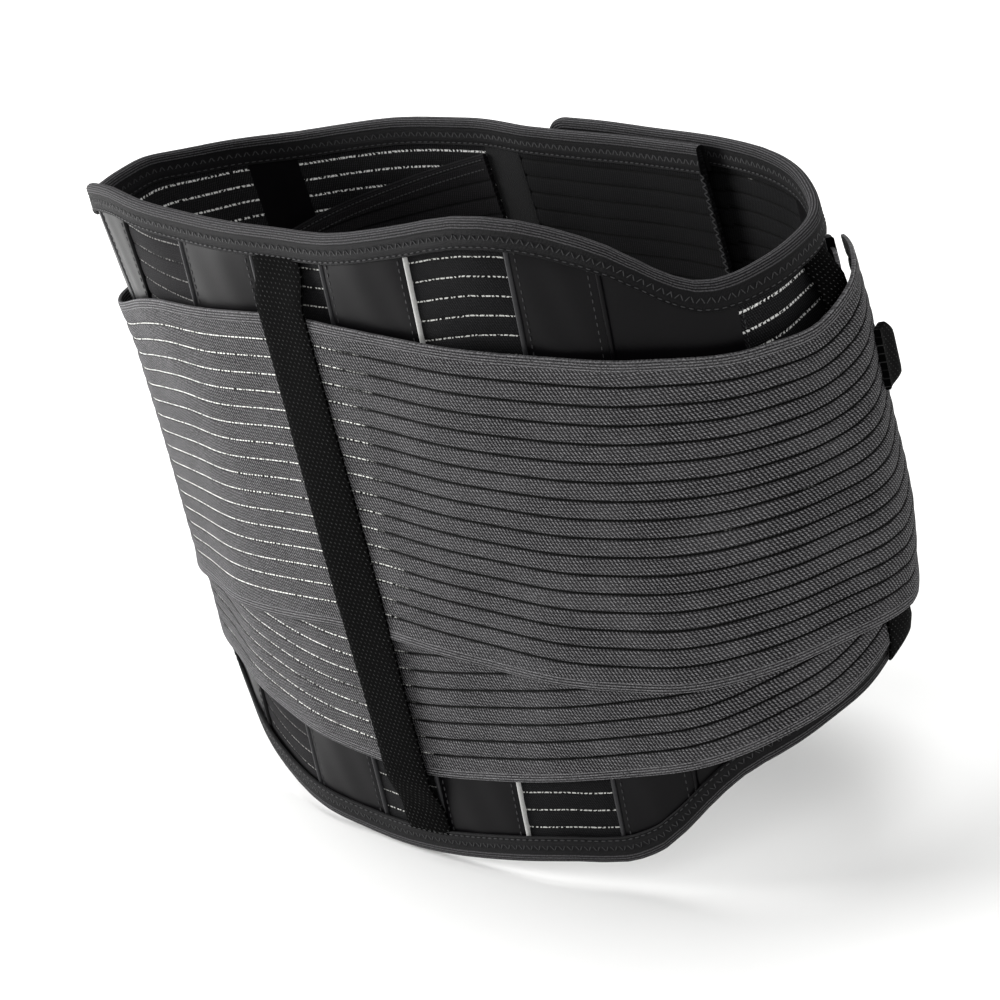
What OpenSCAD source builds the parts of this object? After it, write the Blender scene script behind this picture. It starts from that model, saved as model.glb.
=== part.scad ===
// Lumbar support belt, closed as it is worn.
// The middle of the back is at -Y, the closure at +Y, the wearer's right at +X and up is +Z.
// Every layer is laid on one tapered oval, at a station (degrees round the oval from the
// middle of the back, positive to the wearer's right) and a distance out from the lining.

/* [Waist] */
// Inside width of the belt at its top edge
top_width = 348; // [320:1:380]
// Inside depth of the belt, back to front, at its top edge
top_depth = 147.5; // [140:0.5:180]
// Inside width of the belt at its bottom edge
bottom_width = 329; // [300:1:360]
// Inside depth of the belt at its bottom edge
bottom_depth = 179.5; // [170:0.5:200]
// How far the oval slides forward from the top edge to the bottom edge
forward_slide = 16.5; // [10:0.5:30]
// Height of the back section
back_height = 260; // [250:5:270]
// How square the oval is, where 2 is an ellipse
oval_power = 2.35; // [2:0.05:2.8]

/* [Layers] */
// Thickness of the ribbed elastic
elastic_t = 1.8; // [1.6:0.1:2]
// Thickness of a stay casing
casing_t = 3; // [2.8:0.1:3]
// Thickness of a pull band
band_t = 1.8; // [1.4:0.1:1.8]
// Width of a pull band at the middle of the back
band_width = 130; // [120:1:132]
// Thickness of the webbing
webbing_t = 1.2; // [1:0.1:1.3]
// Width of the spine webbing
webbing_width = 25; // [20:1:27]
// Height of the edge binding
binding_h = 10.5; // [10:0.5:14]
// Thickness of one leg of the edge binding
binding_t = 1.2; // [1:0.1:1.3]
// Width of a stay
stay_width = 20; // [12:1:22]
// Thickness of a stay
stay_t = 1; // [0.6:0.1:1.1]

/* [Hidden] */

// Stations of the seams, the same on both sides unless one side is named
back_casing_in = 6.4;
back_casing_out = 20.8;
flank_casing_in = 35.8;
flank_casing_out = 48.8;
wing_seam = 73.3;
side_webbing_in = 98;
side_webbing_out = 110.4;
strap_seam = 111;
front_casing_in = 120;
front_casing_out = 130.5;
closure_casing_in = 165;
closure_casing_out = 172.3;
right_front_in = 151;
right_end = 182;
// The rounded corners of the right front's end, round the belt in degrees and up in mm
corner_span = 3.2;
corner_radius = 8;
left_end = 208.5;
strap_tab_in = 124.2;
strap_tab_out = 133;
half_seam = 0.2;
// How far short of its casing each stay stops
stay_gap = 13.2;
// The spine webbing is sewn a little askew: its middle at the foot and at the head
spine_foot = 3.2;
spine_head = -1.6;

// Heights of the edges above the base plane, as [station, height]
TOP_EDGE = [
    [-210, 247], [-190, 245], [-165, 244], [-150, 243.5], [-132, 238.5], [-110, 240],
    [-92, 244], [-70, 243], [-60, 247], [-50, 256], [-38, 261], [-25, 259.5], [-14, 258.5],
    [8, 258.5], [22, 265.5], [29, 270], [38, 268], [51, 257], [58, 245], [65, 237.5],
    [74, 237], [92, 239], [104, 240], [118, 244], [130, 248], [140, 250], [153, 248],
    [165, 247], [190, 248]
];
BOTTOM_EDGE = [
    [-210, 75], [-140, 75], [-120, 72], [-100, 67], [-90, 62.5], [-76, 56], [-66, 51],
    [-57, 44], [-50, 33], [-42, 20], [-35, 10], [-28, 3], [-20, -1], [-6, -4],
    [8, -1.5], [21, 4], [28, 6.5], [36, 7], [42, 13], [46, 22], [50, 32], [57, 44],
    [66, 50], [76, 54.5], [90, 59.5], [100, 64], [120, 70], [140, 74], [190, 75]
];
UPPER_TOP = [
    [0, 226.5], [10, 225], [20, 222.5], [30, 220.5], [42, 217.5], [57, 214.5],
    [70, 211.5], [90, 209], [97, 210.5], [102, 214], [110, 218], [118, 222], [127, 222],
    [135, 217]
];
UPPER_BOTTOM = [
    [0, 95], [6, 95], [18, 90.5], [25, 88], [33, 85], [42, 83.5], [52, 83], [62, 84],
    [74, 86], [92, 85.6], [111, 80], [125, 95], [135, 104]
];
LOWER_BOTTOM = [
    [0, 33.5], [8, 34.5], [16, 37], [27, 41], [38, 45], [50, 49.3], [56, 51.7],
    [67, 57.4], [80, 61], [94, 69], [111, 78], [125, 95], [135, 104]
];

step = 3.5;
clear = 0.2;

function smooth_at(p, table) =
    (lookup(p - 4, table) + 2 * lookup(p, table) + lookup(p + 4, table)) / 4;
function top_z(p) = smooth_at(p, TOP_EDGE);
function bottom_z(p) = smooth_at(p, BOTTOM_EDGE);
function ramp(x, a, b) = let (t = max(0, min(1, (x - a) / (b - a)))) t * t * (3 - 2 * t);
function mix(a, b, t) = a + (b - a) * t;

// The tapered oval: a point at station p and height z, d out from the lining
function signed_power(v, e) = sign(v) * pow(abs(v), e);
// The bands draw the left flank in by this much, and less towards its top
waist_pull = 6.5;
WAIST_SHARE = [[0, 0.8], [1/6, 1], [2/3, 1], [5/6, 0.5], [1, 0]];
function drawn_in(p, z) = -waist_pull * ramp(-p, 16, 46) * (1 - ramp(-p, 70, 98))
    * lookup((z - bottom_z(p)) / (top_z(p) - bottom_z(p)), WAIST_SHARE);
function oval_point(p, z, distance) =
    let (
        d = distance + drawn_in(p, z),
        t = z / back_height,
        a = mix(bottom_width, top_width, t) / 2,
        b = mix(bottom_depth, top_depth, t) / 2,
        k = pow(pow(abs(sin(p)), oval_power) + pow(abs(cos(p)), oval_power), -1 / oval_power),
        u = sin(p) * k,
        v = -cos(p) * k,
        nx = signed_power(u, oval_power - 1) / a,
        ny = signed_power(v, oval_power - 1) / b,
        n = norm([nx, ny])
    )
    [a * u + d * nx / n, b * v + forward_slide * (1 - t) + d * ny / n, z - back_height / 2];

// How far the upper band stands off the lower one in front of the hips, by height
STAND_OFF = [[78, 0.5], [88, 1.5], [101, 3.7], [117, 5.2], [133, 5.2], [149, 4.5],
    [197, 4], [213, 3], [225, 2]];
// How far each band stands out from the lining; at the sides it lies over the bottom binding
function lower_d(p) = casing_t + clear + (binding_t + 0.3) * ramp(abs(p), 40, 52);
function upper_d(p, z) =
    lower_d(p) + band_t + clear + 1.6 * ramp(abs(p), 78, 92)
    + ramp(abs(p), 86, 108) * (1 - ramp(abs(p), 118, 132)) * lookup(z, STAND_OFF);
// The upper band's top edge, which lies lower round the left flank
function upper_top(p) = smooth_at(abs(p), UPPER_TOP)
    - 13 * ramp(-p, 26, 58) * (1 - ramp(-p, 84, 108));
// How far the left front tucks in behind the right one
function tuck(p) = -6.4 * ramp(-p, closure_casing_in - 2, closure_casing_out + 4);

function grid_faces(np, nz) =
    let (n = (np + 1) * (nz + 1), row = nz + 1)
    concat(
        [for (i = [0:np - 1], j = [0:nz - 1]) let (q = i * row + j)
            each [[n + q, n + q + 1, n + q + row + 1], [n + q, n + q + row + 1, n + q + row],
                  [q, q + row + 1, q + 1], [q, q + row, q + row + 1]]],
        [for (i = [0:np - 1]) let (q = i * row)
            each [[n + q, n + q + row, q + row], [n + q, q + row, q]]],
        [for (i = [0:np - 1]) let (q = i * row + nz)
            each [[n + q + row, n + q, q], [n + q + row, q, q + row]]],
        [for (j = [0:nz - 1]) each [[n + j + 1, n + j, j], [n + j + 1, j, j + 1]]],
        [for (j = [0:nz - 1]) let (q = np * row + j)
            each [[n + q, n + q + 1, q + 1], [n + q, q + 1, q]]]
    );

// A panel of cloth from station p0 to p1, between two edge heights and two distances out;
// lean shifts its stations with height
// A sheet between two stations and two edges; past is how far it runs on beyond its edges
module panel(p0, p1, low, high, inside, outside, nz = 6, span = step,
             lean = function(z) 0, past = 0) {
    np = max(1, ceil((p1 - p0) / span));
    points = [for (out = [0, 1], i = [0:np], j = [0:nz])
        let (
            p = mix(p0, p1, i / np),
            z = mix(low(p), high(p), j / nz) + (j == 0 ? -past : j == nz ? past : 0)
        )
        oval_point(p + lean(z), z, out ? outside(p, z) : inside(p, z))];
    polyhedron(points, grid_faces(np, nz));
}

// A plain piece of the belt's own body, thickness t, between the two bindings
module body_panel(p0, p1, t) {
    panel(p0, p1, function(p) bottom_z(p) + 0.8, function(p) top_z(p) - 0.8,
        function(p, z) tuck(p), function(p, z) tuck(p) + t);
}

// A casing with a flat pocket right through it for a stay
module casing(p0, p1) {
    middle = (p0 + p1) / 2;
    half = pocket_half(middle);
    difference() {
        body_panel(p0, p1, casing_t);
        panel(middle - half, middle + half,
            function(p) bottom_z(p) + 0.8, function(p) top_z(p) - 0.8,
            function(p, z) 0.6, function(p, z) casing_t - 0.6, past = 6.8);
    }
}
function mm_per_degree(p) = norm(oval_point(p + 0.5, 120, 0) - oval_point(p - 0.5, 120, 0));
function pocket_half(p) = (stay_width / 2 + 1) / mm_per_degree(p);

module stay(p0, p1) {
    middle = (p0 + p1) / 2;
    half = stay_width / 2 / mm_per_degree(middle);
    inner = (casing_t - stay_t) / 2;
    panel(middle - half, middle + half,
        function(p) bottom_z(p) + 0.8, function(p) top_z(p) - 0.8,
        function(p, z) inner, function(p, z) inner + stay_t, past = -stay_gap);
}

// Folded binding over an edge; up is 1 for the top edge and -1 for the bottom edge
module binding(p0, p1, up, cloth_t) {
    np = ceil((p1 - p0) / step);
    leg = binding_h;
    rings = [for (i = [0:np])
        let (
            p = mix(p0, p1, i / np),
            edge = up > 0 ? top_z(p) : bottom_z(p),
            inner = tuck(p) - 0.1,
            outer = tuck(p) + cloth_t + 0.1
        )
        [for (q = [[outer + binding_t, -leg], [outer + binding_t, binding_t],
                   [inner - binding_t, binding_t], [inner - binding_t, -leg],
                   [inner, -leg], [inner, -0.6], [outer, -0.6], [outer, -leg]])
            oval_point(p, edge + up * q[1], q[0])]];
    end = np * 8;
    sides = [for (i = [0:np - 1], j = [0:7])
        let (a = i * 8 + j, b = i * 8 + (j + 1) % 8)
        each [[a, b, b + 8], [a, b + 8, a + 8]]];
    caps = concat(
        [for (c = [[0, 6, 1], [0, 7, 6], [1, 5, 2], [1, 6, 5], [2, 4, 3], [2, 5, 4]]) c],
        [for (c = [[0, 1, 6], [0, 6, 7], [1, 2, 5], [1, 5, 6], [2, 3, 4], [2, 4, 5]])
            [c[0] + end, c[1] + end, c[2] + end]]
    );
    faces = concat(sides, caps);
    polyhedron([for (r = rings) each r],
        up > 0 ? faces : [for (f = faces) [f[2], f[1], f[0]]]);
}

// Webbing that bridges outward over whatever lies between two heights
module keeper(p0, p1, low, high, from, to, near, far, lean = function(z) 0) {
    panel(p0, p1, function(p) bottom_z(p) + low, function(p) top_z(p) - high,
        function(p, z) mix(near, far, ramp(z, from - 16, from) * (1 - ramp(z, to, to + 16))),
        function(p, z) webbing_t
            + mix(near, far, ramp(z, from - 16, from) * (1 - ramp(z, to, to + 16))),
        nz = 24, lean = lean);
}

module upper_band(p0, p1) {
    color("gray") panel(p0, p1,
        function(p) smooth_at(abs(p), UPPER_BOTTOM), function(p) upper_top(p),
        function(p, z) upper_d(p, z), function(p, z) upper_d(p, z) + band_t, nz = 4);
}
module lower_band(p0, p1) {
    color("dimgray") panel(p0, p1,
        function(p) smooth_at(abs(p), LOWER_BOTTOM),
        function(p) min(smooth_at(abs(p), LOWER_BOTTOM) + band_width, upper_top(p) - 4),
        function(p, z) lower_d(p), function(p, z) lower_d(p) + band_t, nz = 4);
}

// Puts a right-hand span of stations on side 1 or its mirror image on side -1
module on_side(side, p0, p1) {
    $low = side > 0 ? p0 : -p1;
    $high = side > 0 ? p1 : -p0;
    children();
}

module centre_elastic() {
    color("black") body_panel(-back_casing_in, back_casing_in, elastic_t);
}
module spine_webbing() {
    half = webbing_width / 2 / mm_per_degree(0);
    color("black") keeper(-half, half, binding_h + 1, binding_h + 1, 32, 229,
        casing_t + 0.1, casing_t + 2 * band_t + 3 * clear,
        function(z) mix(spine_foot, spine_head, z / back_height));
}
module back_casing(side) {
    color("darkslategray") on_side(side, back_casing_in, back_casing_out)
        casing($low, $high);
}
module back_stay(side) {
    color("silver") on_side(side, back_casing_in, back_casing_out) stay($low, $high);
}
module back_elastic(side) {
    color("black") on_side(side, back_casing_out, flank_casing_in)
        body_panel($low, $high, elastic_t);
}
module flank_casing(side) {
    color("darkslategray") on_side(side, flank_casing_in, flank_casing_out)
        casing($low, $high);
}
module flank_stay(side) {
    color("silver") on_side(side, flank_casing_in, flank_casing_out) stay($low, $high);
}
module flank_panel(side) {
    color("darkslategray") on_side(side, flank_casing_out, wing_seam - half_seam)
        body_panel($low, $high, elastic_t + 0.4);
}
module side_elastic(side) {
    color("black") on_side(side, wing_seam + half_seam, front_casing_in)
        body_panel($low, $high, elastic_t);
}
module side_webbing(side) {
    color("black") on_side(side, side_webbing_in, side_webbing_out)
        keeper($low, $high, 1, binding_h + 1, 66, 210,
            elastic_t + 0.1, lower_d(side_webbing_in) + band_t + 0.1);
}
module front_casing(side) {
    color("darkslategray") on_side(side, front_casing_in, front_casing_out)
        casing($low, $high);
}
module front_stay(side) {
    half = 6 / mm_per_degree(125);
    middle = side * (front_casing_in + front_casing_out) / 2;
    inner = (casing_t - stay_t) / 2;
    color("silver") panel(middle - half, middle + half,
        function(p) bottom_z(p) + 0.8, function(p) top_z(p) - 0.8,
        function(p, z) inner, function(p, z) inner + stay_t, past = -stay_gap);
}

// The right front ends in a rounded tongue: how far its corner drops at station p
function corner_drop(p) =
    let (t = max(0, min(1, (p - (right_end - corner_span)) / corner_span)))
    corner_radius * (1 - sqrt(1 - t * t));

module front_panel_right() {
    color("black") panel(right_front_in, right_end,
        function(p) bottom_z(p) + 0.8 + corner_drop(p),
        function(p) top_z(p) - 0.8 - corner_drop(p),
        function(p, z) 0, function(p, z) elastic_t, span = 1.6);
}
module end_binding_right() {
    back = right_end - 4.4;
    color("black") difference() {
        panel(back, right_end + 0.5,
            function(p) bottom_z(p) + corner_drop(p) + binding_h + 2,
            function(p) top_z(p) - corner_drop(p) - binding_h - 2,
            function(p, z) -0.1 - binding_t, function(p, z) elastic_t + 0.1 + binding_t);
        panel(back - 1, right_end + 0.04,
            function(p) bottom_z(p), function(p) top_z(p),
            function(p, z) -0.1, function(p, z) elastic_t + 0.1);
    }
}
module front_panel_left() {
    color("black") body_panel(-left_end, -closure_casing_out, elastic_t);
}
module closure_casing_left() {
    color("dimgray") body_panel(-closure_casing_out, -closure_casing_in, elastic_t + 0.6);
}
// Tapered elastic sewn inside the left front, wide at the closure and narrow at the side
module inner_gusset_left() {
    color("black") panel(-closure_casing_in, -front_casing_in - 3,
        function(p) mix(90, 122, (closure_casing_in + p) / 41),
        function(p) mix(229, 196, (closure_casing_in + p) / 41),
        function(p, z) tuck(p) - 1.6, function(p, z) tuck(p) - 0.2);
}
module loop_pad_left() {
    color("dimgray") panel(-left_end + 1.5, -closure_casing_out - 4,
        function(p) bottom_z(p) + binding_h + 6, function(p) top_z(p) - binding_h - 6,
        function(p, z) tuck(p) + elastic_t + 0.1, function(p, z) tuck(p) + elastic_t + 1.3);
}
module hook_pad_right() {
    color("black") panel(right_front_in + 4, right_end - 7,
        function(p) bottom_z(p) + binding_h + 6, function(p) top_z(p) - binding_h - 6,
        function(p, z) -1.4, function(p, z) -0.1);
}
module strap_tab(side) {
    color("black") on_side(side, strap_tab_in, strap_tab_out)
        panel($low, $high,
            function(p) smooth_at(abs(p), UPPER_BOTTOM) + 8 * ramp(abs(p), 126, 133),
            function(p) upper_top(p) - 8 * ramp(abs(p), 126, 133),
            function(p, z) casing_t + 0.6,
            function(p, z) casing_t + 4.2);
}
// Doubled webbing sewn to the strap end at its rear edge, its free edge standing out to grip
module pull_tab(side) {
    lift = 4;
    color("black") on_side(side, 113, 121.5)
        panel($low, $high, function(p) 166, function(p) 191 - 8 * ramp(abs(p), 116, 121.5),
            function(p, z) upper_d(p, z) + band_t + 0.1 + lift * ramp(abs(p), 113.5, 121.5),
            function(p, z) upper_d(p, z) + band_t + 0.1 + 2 * webbing_t
                + lift * ramp(abs(p), 113.5, 121.5),
            nz = 2, span = 1.2);
}

module edge_binding(p0, p1, up, cloth_t) {
    color("black") binding(p0, p1, up, cloth_t);
}

centre_elastic();
spine_webbing();
back_casing(-1);  // back_casing_left
back_casing(1);  // back_casing_right
back_stay(-1);  // back_stay_left
back_stay(1);  // back_stay_right
back_elastic(-1);  // back_elastic_left
back_elastic(1);  // back_elastic_right
flank_casing(-1);  // flank_casing_left
flank_casing(1);  // flank_casing_right
flank_stay(-1);  // flank_stay_left
flank_stay(1);  // flank_stay_right
flank_panel(-1);  // flank_panel_left
flank_panel(1);  // flank_panel_right
edge_binding(half_seam - wing_seam, wing_seam - half_seam, 1, casing_t);  // top_binding_back
edge_binding(half_seam - wing_seam, wing_seam - half_seam, -1, casing_t);  // bottom_binding_back
upper_band(half_seam - wing_seam, wing_seam - half_seam);  // upper_band_back
lower_band(half_seam - wing_seam, wing_seam - half_seam);  // lower_band_back
side_elastic(-1);  // side_elastic_left
side_elastic(1);  // side_elastic_right
side_webbing(-1);  // side_webbing_left
side_webbing(1);  // side_webbing_right
front_casing(-1);  // front_casing_left
front_casing(1);  // front_casing_right
front_stay(-1);  // front_stay_left
front_stay(1);  // front_stay_right
color("black") body_panel(-closure_casing_in, -front_casing_out, elastic_t);  // front_elastic_left
color("black") body_panel(front_casing_out, right_front_in, elastic_t);  // front_elastic_right
closure_casing_left();
front_panel_left();
front_panel_right();
inner_gusset_left();
loop_pad_left();
hook_pad_right();
end_binding_right();
edge_binding(-left_end, -wing_seam - half_seam, 1, casing_t);  // top_binding_left
edge_binding(wing_seam + half_seam, right_end - 5, 1, casing_t);  // top_binding_right
edge_binding(-left_end, -wing_seam - half_seam, -1, casing_t);  // bottom_binding_left
edge_binding(wing_seam + half_seam, right_end - 5, -1, casing_t);  // bottom_binding_right
upper_band(half_seam - strap_seam, -wing_seam - half_seam);  // upper_band_side_left
upper_band(wing_seam + half_seam, strap_seam - half_seam);  // upper_band_side_right
lower_band(half_seam - strap_seam, -wing_seam - half_seam);  // lower_band_side_left
lower_band(wing_seam + half_seam, strap_seam - half_seam);  // lower_band_side_right
upper_band(-strap_tab_in, -strap_seam - half_seam);  // upper_band_end_left
upper_band(strap_seam + half_seam, strap_tab_in);  // upper_band_end_right
lower_band(-strap_tab_in, -strap_seam - half_seam);  // lower_band_end_left
lower_band(strap_seam + half_seam, strap_tab_in);  // lower_band_end_right
strap_tab(-1);  // strap_tab_left
strap_tab(1);  // strap_tab_right
pull_tab(-1);  // pull_tab_left
pull_tab(1);  // pull_tab_right
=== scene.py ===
"""The looks of a lumbar support belt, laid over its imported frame."""

import math
from functools import partial

import bpy
import numpy as np
from mathutils import Matrix, Vector


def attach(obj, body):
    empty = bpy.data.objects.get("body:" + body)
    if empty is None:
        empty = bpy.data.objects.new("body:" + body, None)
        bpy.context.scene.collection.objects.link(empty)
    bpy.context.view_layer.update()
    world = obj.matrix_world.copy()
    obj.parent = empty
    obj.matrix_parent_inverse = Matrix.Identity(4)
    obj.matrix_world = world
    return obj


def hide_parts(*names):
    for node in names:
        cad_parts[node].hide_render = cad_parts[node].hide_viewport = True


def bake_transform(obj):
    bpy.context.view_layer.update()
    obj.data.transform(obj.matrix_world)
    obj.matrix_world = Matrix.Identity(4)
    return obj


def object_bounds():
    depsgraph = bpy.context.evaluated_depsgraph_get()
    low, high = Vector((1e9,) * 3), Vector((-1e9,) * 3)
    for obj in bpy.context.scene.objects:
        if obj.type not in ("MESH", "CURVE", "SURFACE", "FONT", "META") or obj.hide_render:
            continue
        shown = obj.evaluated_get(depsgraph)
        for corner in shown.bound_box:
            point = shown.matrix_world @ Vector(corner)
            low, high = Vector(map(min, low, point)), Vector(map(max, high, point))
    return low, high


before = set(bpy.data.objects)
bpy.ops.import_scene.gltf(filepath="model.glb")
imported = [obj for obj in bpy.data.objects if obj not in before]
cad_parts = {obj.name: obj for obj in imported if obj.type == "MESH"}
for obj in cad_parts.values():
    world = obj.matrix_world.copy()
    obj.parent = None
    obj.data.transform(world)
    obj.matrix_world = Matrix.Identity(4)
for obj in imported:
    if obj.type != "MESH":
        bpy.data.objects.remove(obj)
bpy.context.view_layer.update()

# ---------------------------------------------------------------- studio
# A long lens looks down on the belt from behind the wearer's right shoulder. One big soft
# lamp stands to the left, a weak one to the right and a broad one overhead, and the floor and
# the room are near white.

AZIMUTH = math.radians(48.69)
ELEVATION = math.radians(22.055)
ROLL = math.radians(12.24)
DISTANCE = 1.3984
FOCAL_LENGTH = 127.08
SHIFT = (0.01364, -0.03476)
FLOOR_GAP = 0.0006


def linear(hex_colour):
    """An sRGB hex colour as linear RGBA."""
    parts = [int(hex_colour[i : i + 2], 16) / 255 for i in (1, 3, 5)]
    return [c / 12.92 if c <= 0.04045 else ((c + 0.055) / 1.055) ** 2.4 for c in parts] + [1]


def add(tree, kind, inputs=(), out=0, **settings):
    """Adds a shader node with its settings. Its inputs are links or values, by name or in
    order. Returns the output socket named by out, or the node itself where out is None."""
    made = tree.nodes.new("ShaderNode" + kind)
    for key, value in settings.items():
        setattr(made, key, value)
    for key, value in inputs.items() if isinstance(inputs, dict) else enumerate(inputs):
        if isinstance(value, bpy.types.NodeSocket):
            tree.links.new(value, made.inputs[key])
        else:
            made.inputs[key].default_value = value
    return made if out is None else made.outputs[out]


def finish_of(name):
    """A new material, and what adds nodes to it."""
    material = bpy.data.materials.new(name)
    material.use_nodes = True
    material.node_tree.nodes.clear()
    return material, partial(add, material.node_tree)


# Matt painted board: flat and pale, with a faint roller mottle.
def painted_floor():
    material, node = finish_of("painted_floor")
    place = node("TexCoord", out="Object")
    mottle = node("TexNoise", {"Vector": place, "Scale": 9.0, "Detail": 3.0})
    tone = node("Mix", {0: mottle, 6: linear("#f6f6f5"), 7: linear("#f1f1f0")}, 2,
                data_type="RGBA")
    shader = node("BsdfPrincipled", {"Base Color": tone, "Roughness": 0.8})
    node("OutputMaterial", {"Surface": shader}, None)
    return material


low_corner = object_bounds()[0]
bpy.ops.object.select_all(action="DESELECT")
bpy.ops.mesh.primitive_plane_add(size=14, location=(0, 0, 0))
floor = bpy.context.object
floor.name = "studio_floor"
floor.data.transform(Matrix.Translation((0, 0, low_corner.z - FLOOR_GAP)))
floor.data.materials.append(painted_floor())

scene = bpy.context.scene
scene.view_settings.view_transform = "Standard"
room = bpy.data.worlds.new("room")
scene.world = room
room.use_nodes = True
room.node_tree.nodes["Background"].inputs["Color"].default_value = linear("#ffffff")
room.node_tree.nodes["Background"].inputs["Strength"].default_value = 0.3


def lamp(name, place, size, watts):
    """A square soft lamp at place, aimed at the belt."""
    data = bpy.data.lights.new(name, "AREA")
    data.size = size
    data.energy = watts
    made = bpy.data.objects.new(name, data)
    made.location = place
    made.rotation_euler = (-Vector(place)).to_track_quat("-Z", "Y").to_euler()
    scene.collection.objects.link(made)


lamp("key_lamp", (-1.75, -0.8, 0.45), 1.0, 60)
lamp("fill_lamp", (1.1, -1.4, 1.25), 1.2, 13)
lamp("top_lamp", (-0.45, 0.4, 1.9), 1.9, 52)

back = Vector((math.sin(AZIMUTH) * math.cos(ELEVATION),
               -math.cos(AZIMUTH) * math.cos(ELEVATION), math.sin(ELEVATION)))
right = Vector((math.cos(AZIMUTH), math.sin(AZIMUTH), 0))
up = back.cross(right)
across = right * math.cos(ROLL) - up * math.sin(ROLL)
upright = right * math.sin(ROLL) + up * math.cos(ROLL)
lens = bpy.data.cameras.new("camera")
lens.sensor_width = 36
lens.lens = FOCAL_LENGTH
lens.shift_x, lens.shift_y = SHIFT
camera = bpy.data.objects.new("camera", lens)
camera.matrix_world = (Matrix.Translation(back * DISTANCE)
                       @ Matrix((across, upright, back)).transposed().to_4x4())
scene.collection.objects.link(camera)
scene.camera = camera

# ---------------------------------------------------------------- back elastics
# Three panels of black ribbed knit elastic stretch between the back's casings. Thin white
# elastane threads run in the grooves between the ribs and show where the cloth is pulled; on the grey
# bands, how much they show is painted light instead.

TOP_WIDTH = 348.0
TOP_DEPTH = 147.5
BOTTOM_WIDTH = 329.0
BOTTOM_DEPTH = 179.5
FORWARD_SLIDE = 16.5
BACK_HEIGHT = 260.0
OVAL_POWER = 2.35
ELASTIC = 1.8

# Stations are degrees round the oval from the middle of the back, positive to the wearer's
# right; heights are above the base plane, in mm.
TOP_EDGE = ((-210, 247), (-190, 245), (-165, 244), (-150, 243.5), (-132, 238.5), (-110, 240),
            (-92, 244), (-70, 243), (-60, 247), (-50, 256), (-38, 261), (-25, 259.5),
            (-14, 258.5), (8, 258.5), (22, 265.5), (29, 270), (38, 268), (51, 257), (58, 245),
            (65, 237.5), (74, 237), (92, 239), (104, 240), (118, 244), (130, 248), (140, 250),
            (153, 248), (165, 247), (190, 248))
BOTTOM_EDGE = ((-210, 75), (-140, 75), (-120, 72), (-100, 67), (-90, 62.5), (-76, 56), (-66, 51),
            (-57, 44), (-50, 33), (-42, 20), (-35, 10), (-28, 3), (-20, -1), (-6, -4), (8, -1.5),
            (21, 4), (28, 6.5), (36, 7), (42, 13), (46, 22), (50, 32), (57, 44), (66, 50),
            (76, 54.5), (90, 59.5), (100, 64), (120, 70), (140, 74), (190, 75))
BACK_CASING = (6.4, 20.8)
FLANK_CASING = (35.8, 48.8)
CLOSURE_CASING = (165.0, 172.3)
HINGE_SPAN = (66.0, 80.0)
RIB_PITCH = 7.7


def smooth_at(p, table):
    xs, ys = zip(*table)
    return sum(w * np.interp(p + s, xs, ys) for w, s in ((1, -4), (2, 0), (1, 4))) / 4


def top_z(p):
    return smooth_at(p, TOP_EDGE)


def bottom_z(p):
    return smooth_at(p, BOTTOM_EDGE)


def ramp(x, a, b):
    t = np.clip((x - a) / (b - a), 0, 1)
    return t * t * (3 - 2 * t)


def tuck(p):
    """How far the left front lies in behind the right one."""
    return -6.4 * ramp(-p, CLOSURE_CASING[0] - 2, CLOSURE_CASING[1] + 4)


def ripple(p, z):
    """The belt's gentle unevenness, shared by every layer so that none cuts another."""
    return 0.5 * np.sin(0.13 * p + 0.021 * z) + 0.3 * np.sin(0.31 * p - 0.037 * z + 1.3)


WAIST_PULL = 6.5
WAIST_SHARE = ((0, 1 / 6, 2 / 3, 5 / 6, 1), (0.8, 1, 1, 0.5, 0))


def drawn_in(p, z):
    """How far the bands draw the left flank in, which is less towards its top."""
    share = (z - bottom_z(p)) / (top_z(p) - bottom_z(p))
    return (-WAIST_PULL * ramp(-p, 16, 46) * (1 - ramp(-p, 70, 98))
            * np.interp(share, *WAIST_SHARE))


def on_belt(p, z, d):
    """Points in metres at stations p, heights z and distances d out from the lining, in mm."""
    p, z, d = np.broadcast_arrays(np.asarray(p, float), np.asarray(z, float), np.asarray(d, float))
    d = d + ripple(p, z) + drawn_in(p, z)
    t = z / BACK_HEIGHT
    a = (BOTTOM_WIDTH + (TOP_WIDTH - BOTTOM_WIDTH) * t) / 2
    b = (BOTTOM_DEPTH + (TOP_DEPTH - BOTTOM_DEPTH) * t) / 2
    s, c = np.sin(np.radians(p)), np.cos(np.radians(p))
    k = (np.abs(s) ** OVAL_POWER + np.abs(c) ** OVAL_POWER) ** (-1 / OVAL_POWER)
    u, v = s * k, -c * k
    nx = np.sign(u) * np.abs(u) ** (OVAL_POWER - 1) / a
    ny = np.sign(v) * np.abs(v) ** (OVAL_POWER - 1) / b
    n = np.hypot(nx, ny)
    x = a * u + d * nx / n
    y = b * v + FORWARD_SLIDE * (1 - t) + d * ny / n
    return np.stack((x, y, z - BACK_HEIGHT / 2), -1) / 1000


ROUND = np.arange(-214, 196, 0.5)
STEPS = np.linalg.norm(np.diff(on_belt(ROUND, 130, 0), axis=0), axis=1) * 1000
LENGTHS = np.concatenate(([0], np.cumsum(STEPS)))
LENGTHS -= np.interp(0, ROUND, LENGTHS)


def along(p):
    """Length in mm round the belt from the middle of the back to station p."""
    return np.interp(p, ROUND, LENGTHS)


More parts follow.
